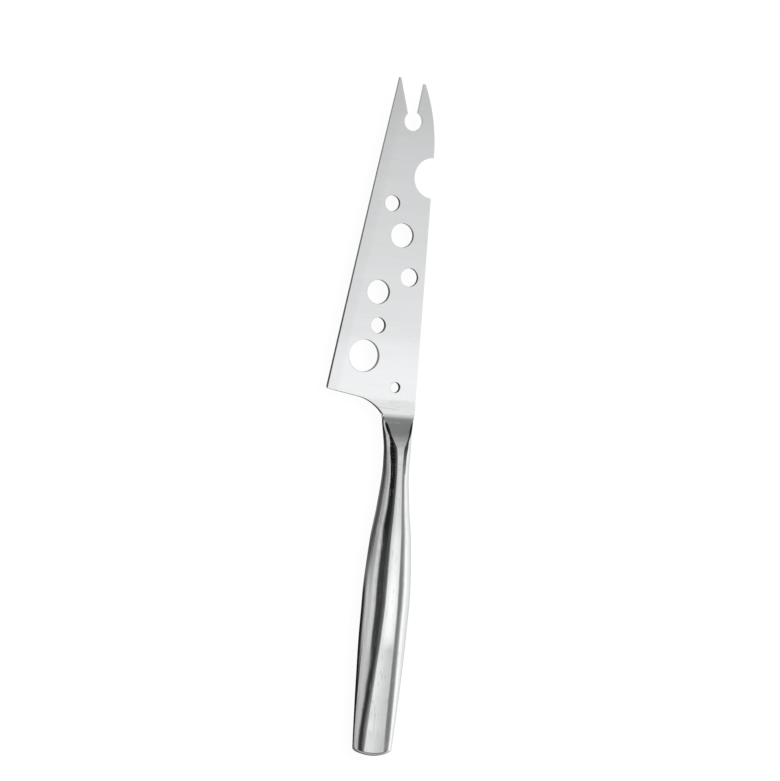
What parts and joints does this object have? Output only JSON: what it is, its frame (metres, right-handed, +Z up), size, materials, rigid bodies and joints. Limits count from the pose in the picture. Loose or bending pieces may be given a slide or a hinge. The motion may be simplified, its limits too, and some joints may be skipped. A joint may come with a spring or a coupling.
{
  "type": "cheese knife",
  "caption": "Pierced cheese knife with a two-pronged point, a round bite out of the spine and a hollow waisted handle.",
  "frame": {"origin": "middle of the knife's box in X and Y, on the surface that it lies on", "axes": "+Y along the knife from the butt towards the prongs, +X across it from the cutting edge to the spine, +Z up through its thickness"},
  "size_m": [0.0438, 0.28, 0.0137],
  "materials": {
    "blade_steel": "stainless steel, ground across the blade to a fine satin",
    "handle_steel": "stainless steel, polished to a soft mirror",
    "weld_steel": "weld metal, ground flush and polished with the handle",
    "cement": "hard cast handle cement"
  },
  "bodies": {
    "root": {"blade": "blade_steel", "handle_front_shell": "handle_steel", "handle_back_shell": "handle_steel", "seam_weld": "weld_steel", "neck_weld": "weld_steel", "tang_cement": "cement"}
  },
  "joints": []
}
